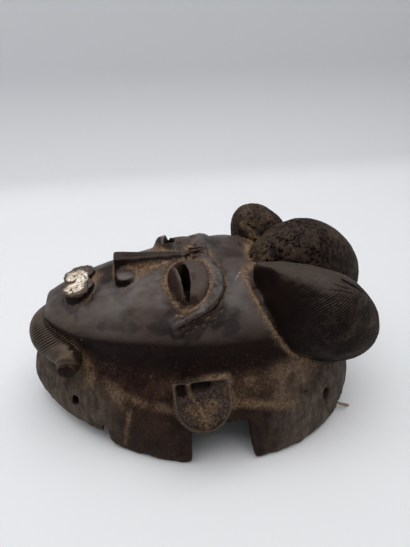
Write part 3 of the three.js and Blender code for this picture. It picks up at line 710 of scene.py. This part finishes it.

# The lips' cover: one piece of thin sheet metal pressed over the front of both lips and folded down round
# their edge. It is crumpled all over and has worn bright, with brown dirt left in the folds and painted
# shade on the folded-down sides.
cover_voxel, cover_triangles, fold_room = 0.3 * MM, 24000, 0.4
cover = merged_copy("lip_sheet", "lip_cover")
finished(cover, "REMESH", mode="VOXEL", voxel_size=cover_voxel, use_smooth_shade=True)
average = averaging(cover)
points = average(points_of(cover), 4, 0.5)
set_points(cover, points)
torn = [0.45 * cloudy(points, 3.4, seed) + 0.3 * cloudy(points, 1.3, seed + 1) for seed in (41, 43)]
points[:, :2] += np.stack(torn, 1)
crumple = 1.0 * np.abs(cloudy(points, 5.0, 31)) + 0.45 * np.abs(cloudy(points, 2.6, 32)) - 0.5
crumple = crumple - 1.3 * ramp(2.6, 0.4, np.abs(points[:, 1] + 1.2)) * ramp(-82, -86, points[:, 0])
points = points + normals_of(cover) * crumple[:, None]
low, high = (np.array(corner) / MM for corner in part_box("lip_sheet"))
set_points(cover, np.clip(points, low - fold_room, high + fold_room))
triangles = 2 * len(cover.data.polygons)
finished(cover, "DECIMATE", ratio=min(1, cover_triangles / triangles), use_collapse_triangulate=True)
# Brown in the folds, and painted shade where the sheet turns down to its sides
crease_and_side_shade = ((averaging(cover)(points_of(cover), 8) - points_of(cover)) * normals_of(cover)).sum(1)
crease_and_side_shade = np.maximum(crease_and_side_shade / 0.3 + 0.5, ramp(0.7, 0.3, normals_of(cover)[:, 2]))
crease_and_side_shade = np.clip(crease_and_side_shade, 0, 1).astype(np.float32)
cover.data.attributes.new("crease_and_side_shade", "FLOAT", "POINT").data.foreach_set("value", crease_and_side_shade)
x, y, z = points_of(cover).T
polished = np.hypot(x + 83, y + 8.5), np.hypot(x + 84, 1.2 * (y - 6)), np.hypot(x + 79, y) + 2
polished = np.minimum.reduce(polished) + 1.8 * cloudy(points_of(cover), 2.4, 35)
bright = ramp(7.6, 5.2, polished).astype(np.float32)
cover.data.attributes.new("bright", "FLOAT", "POINT").data.foreach_set("value", bright)
picked(cover)
bpy.ops.object.shade_smooth()

metal = Finish("pressed_tin")
tarnish = metal.noise(210.0, 5.0, 0.6)
folds = metal.noise(520.0, 4.0, 0.6)
crease_and_side_shade = metal.read("crease_and_side_shade")
sheen = metal.blend(tarnish.between(0.40, 0.66), (0.95, 0.88, 0.76), (0.50, 0.39, 0.27))
sheen = metal.blend(metal.read("bright"), (0.115, 0.088, 0.070), sheen)
# Brown over the metal: dirt in scattered folds and in the creases, and painted shade on the steep sides
dirt_and_side_shade = (folds.between(0.60, 0.74) * 0.7).over(crease_and_side_shade.between(0.62, 0.95))
sheen = metal.blend(dirt_and_side_shade, sheen, (0.13, 0.080, 0.048))
metal.wear(sheen, 0.22 + 0.40 * tarnish + 0.25 * crease_and_side_shade, folds, 0.0007)
metal.shader.inputs["Metallic"].default_value = 0.92
cover.data.materials.append(metal.material)
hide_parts("lip_sheet")
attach(cover, "root")

# The tie's end: a torn wisp of plant fibre, left in the slot at the back of the rim where the mask was once
# bound. Loose dry strands lie side by side and part at the tip.
strand_count, margin = 14, 0.2
route = np.array([
    (95.2, -55.4, 5.5), (98, -58, 5.5), (100.5, -60.5, 5.3), (103.8, -62.0, 5.1), (106.6, -63.1, 5.0),
])
low, high = (np.array(corner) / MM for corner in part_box("fibre_tuft"))
random = np.random.default_rng(7)
strands = []
for _ in range(strand_count):
    bpy.ops.object.select_all(action="DESELECT")
    bpy.ops.curve.primitive_nurbs_path_add(location=(0, 0, 0))
    thread = bpy.context.object
    thread.data.splines.clear()
    spline = thread.data.splines.new("NURBS")
    spline.points.add(len(route) + 1)
    turn = random.uniform(0, 2 * math.pi)
    spread = random.uniform(0.2, 1.0)
    for i, point in enumerate(spline.points):
        share = i / (len(spline.points) - 1)
        on_route = share * (len(route) - 1)
        step = min(int(on_route), len(route) - 2)
        centre = route[step] + (route[step + 1] - route[step]) * (on_route - step)
        loose = spread * (0.5 + share * 1.6)
        angle = turn + share
        offset = np.array([math.cos(angle), math.sin(angle), 0.8 * math.sin(turn * 2 + 3 * share)])
        place = np.clip(centre + offset * loose + random.normal(0, 0.15, 3), low + margin, high - margin)
        point.co = (*(place * MM), 1)
    spline.use_endpoint_u = True
    spline.order_u = 4
    spline.resolution_u = 4
    thread.data.bevel_depth = random.uniform(0.12, 0.24) * MM
    thread.data.bevel_resolution = 1
    thread.data.use_fill_caps = True
    bpy.ops.object.convert(target="MESH")
    strands.append(bpy.context.object)
picked(strands[0])
for thread in strands:
    thread.select_set(True)
bpy.ops.object.join()
wisp = bpy.context.object
wisp.name = "fibre_wisp"
bpy.ops.object.shade_smooth()

straw = Finish("dry_fibre")
streaks = straw.noise(900.0, 4.0, 0.6)
straw.wear(
    straw.blend(streaks.between(0.35, 0.65), (0.20, 0.15, 0.10), (0.46, 0.38, 0.28)),
    0.8 + 0.15 * streaks, streaks, 0.0001,
)
wisp.data.materials.append(straw.material)
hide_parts("fibre_tuft")
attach(wisp, "root")

# The studio: a plain pale table top that curves up into a backdrop behind, a broad soft light overhead and
# a weak fill from the left.
bpy.ops.object.select_all(action="DESELECT")
bpy.ops.mesh.primitive_plane_add(size=1)
backdrop = bpy.context.object
backdrop.name = "backdrop"
card_wide, card_deep, back_edge = 7, 4, 0.33
sweep_radius, wall_height, sweep_steps = 0.16, 1.6, 16
bpy.ops.object.mode_set(mode="EDIT")
bpy.ops.transform.resize(value=(card_wide, card_deep, 1))
bpy.ops.transform.translate(value=(0, back_edge - card_deep / 2, 0))
bpy.ops.object.mode_set(mode="OBJECT")
rear_points = [v.index for v in backdrop.data.vertices if v.co.y > 0]
for point in backdrop.data.vertices:
    point.select = point.index in rear_points
for edge in backdrop.data.edges:
    edge.select = all(v in rear_points for v in edge.vertices)
for face in backdrop.data.polygons:
    face.select = False
bpy.ops.object.mode_set(mode="EDIT")
bpy.ops.mesh.select_mode(type="EDGE")
for step in range(sweep_steps):
    before, after = (math.pi / 2 * (step + n) / sweep_steps for n in (0, 1))
    rise = sweep_radius * (math.cos(before) - math.cos(after))
    run = sweep_radius * (math.sin(after) - math.sin(before))
    bpy.ops.mesh.extrude_region_move(TRANSFORM_OT_translate={"value": (0, run, rise)})
bpy.ops.mesh.extrude_region_move(TRANSFORM_OT_translate={"value": (0, 0, wall_height)})
bpy.ops.object.mode_set(mode="OBJECT")
bpy.ops.object.shade_smooth()

paper = Finish("matt_card")
fibres = paper.noise(3.0, 3.0, 0.5)
rise = paper.node("ShaderNodeSeparateXYZ", {}, paper.place, out=2).between(0.001, 0.024)
card = paper.blend(fibres, (0.76, 0.77, 0.79), (0.80, 0.81, 0.83))
paper.wear(paper.blend(rise, card, (0.66, 0.675, 0.70)), 0.75 + 0.05 * fibres, fibres, 0.00005)
backdrop.data.materials.append(paper.material)


def soft_light(name, place, toward, size, power, colour):
    bpy.ops.object.light_add(type="AREA", location=place)
    lamp = bpy.context.object
    lamp.name = name
    lamp.data.shape, lamp.data.size, lamp.data.energy, lamp.data.color = "SQUARE", size, power, colour
    aim = Vector(toward) - Vector(place)
    lamp.rotation_mode = "QUATERNION"
    lamp.rotation_quaternion = aim.to_track_quat("-Z", "Y")


soft_light("overhead", (0.05, 0.18, 1.20), (0, 0.02, 0), 1.6, 21, (1.0, 0.99, 0.98))
soft_light("window", (-0.9, 0.1, 0.8), (0, 0, 0.05), 0.8, 2.0, (0.97, 0.98, 1.0))
world = bpy.data.worlds.new("room")
bpy.context.scene.world = world
world.use_nodes = True
world.node_tree.nodes["Background"].inputs["Color"].default_value = (0.96, 0.98, 1.0, 1)
world.node_tree.nodes["Background"].inputs["Strength"].default_value = 0.19

# The camera stands as the photograph's did, 35 degrees above the table and turned a little to the right
camera_place = Vector((-37.83, -239.50, 267.91)) * MM
elevation, turn_right = math.radians(35), math.radians(10.5)
focal_px, long_side_px, sensor_mm = 411, 547, 36
forward = Vector((
    math.sin(turn_right) * math.cos(elevation),
    math.cos(turn_right) * math.cos(elevation),
    -math.sin(elevation),
))
bpy.ops.object.camera_add(location=camera_place)
camera = bpy.context.object
camera.rotation_mode = "QUATERNION"
camera.rotation_quaternion = forward.to_track_quat("-Z", "Y")
camera.data.sensor_width = sensor_mm
camera.data.lens = sensor_mm * focal_px / long_side_px
camera.data.clip_start, camera.data.clip_end = 0.01, 30
bpy.context.scene.camera = camera
bpy.context.scene.view_settings.view_transform = "Standard"
